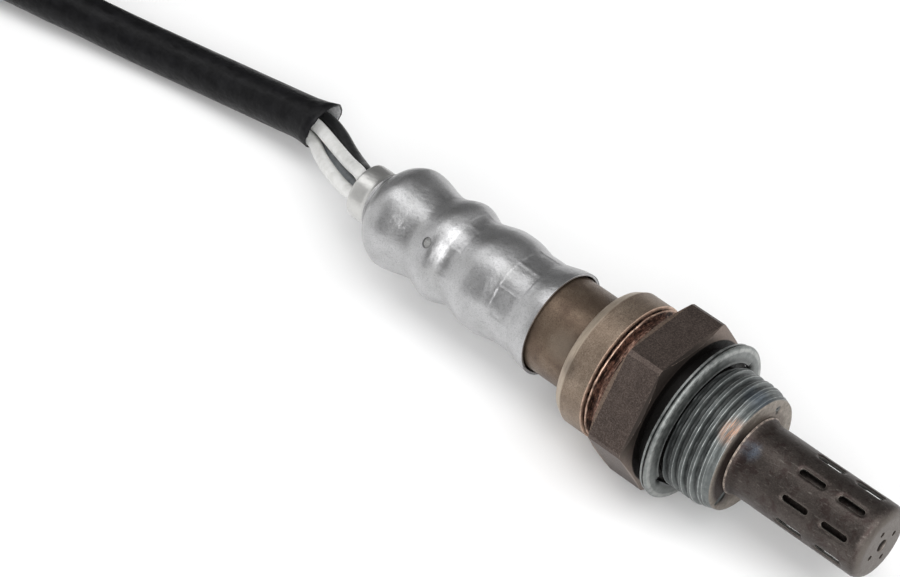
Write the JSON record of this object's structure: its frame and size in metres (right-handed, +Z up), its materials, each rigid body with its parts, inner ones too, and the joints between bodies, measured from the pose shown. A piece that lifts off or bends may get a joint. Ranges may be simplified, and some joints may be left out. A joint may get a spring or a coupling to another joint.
{
  "type": "oxygen sensor",
  "caption": "Heated oxygen sensor with a threaded hexagon housing, a slotted protection tube, a crimped metal sleeve and a sleeved lead that ends in a connector.",
  "frame": {"origin": "on the sensor's axis, in the plane of the hexagon's face on the thread side", "axes": "+X along the axis towards the sensing tip, +Z up as the sensor lies on a flat surface"},
  "size_m": [0.2289, 0.0831, 0.0234],
  "materials": {
    "sleeve_steel": "satin",
    "tinted_steel": "heat-tinted brown, mottled",
    "housing_steel": "heat-tinted, worn bright at the edges",
    "gasket_steel": "dull",
    "shield_steel": "heat-tinted brown to blue",
    "spring_steel": "plain",
    "element_ceramic": "fired, dull",
    "white_ceramic": "unglazed",
    "talc": "pressed powder",
    "contact_metal": "nickel, plain",
    "membrane": "porous",
    "grommet_rubber": "dull",
    "wire_white": "satin",
    "wire_grey": "satin",
    "wire_black": "satin",
    "lead_black": "satin",
    "tie_nylon": "satin",
    "connector_plastic": "moulded, dull",
    "lock_plastic": "moulded, dull",
    "seal_rubber": "dull",
    "terminal_metal": "tinned"
  },
  "bodies": {
    "root": {"housing": "housing_steel", "gasket": "gasket_steel", "outer_shield": "shield_steel", "inner_shield": "shield_steel", "sensing_element": "element_ceramic", "lower_ceramic": "white_ceramic", "talc_seal": "talc", "upper_ceramic": "white_ceramic", "disc_spring": "spring_steel", "inner_sleeve": "tinted_steel", "packing_ring": "spring_steel", "outer_sleeve": "sleeve_steel", "vent_membrane": "membrane", "wire_grommet": "grommet_rubber", "carrier_upper": "white_ceramic", "carrier_lower": "white_ceramic", "carrier_clamp": "spring_steel", "contact_1": "contact_metal", "contact_2": "contact_metal", "contact_3": "contact_metal", "contact_4": "contact_metal", "wire_white_a": "wire_white", "wire_white_b": "wire_white", "wire_grey": "wire_grey", "wire_black": "wire_black", "lead_sleeve": "lead_black", "lead_coil": "lead_black", "lead_tail": "lead_black", "coil_tie_1": "tie_nylon", "coil_tie_2": "tie_nylon", "connector_boot": "lead_black", "connector_housing": "connector_plastic", "wire_seal": "seal_rubber", "terminal_lock": "lock_plastic", "terminal_1": "terminal_metal", "terminal_2": "terminal_metal", "terminal_3": "terminal_metal", "terminal_4": "terminal_metal"}
  },
  "joints": []
}
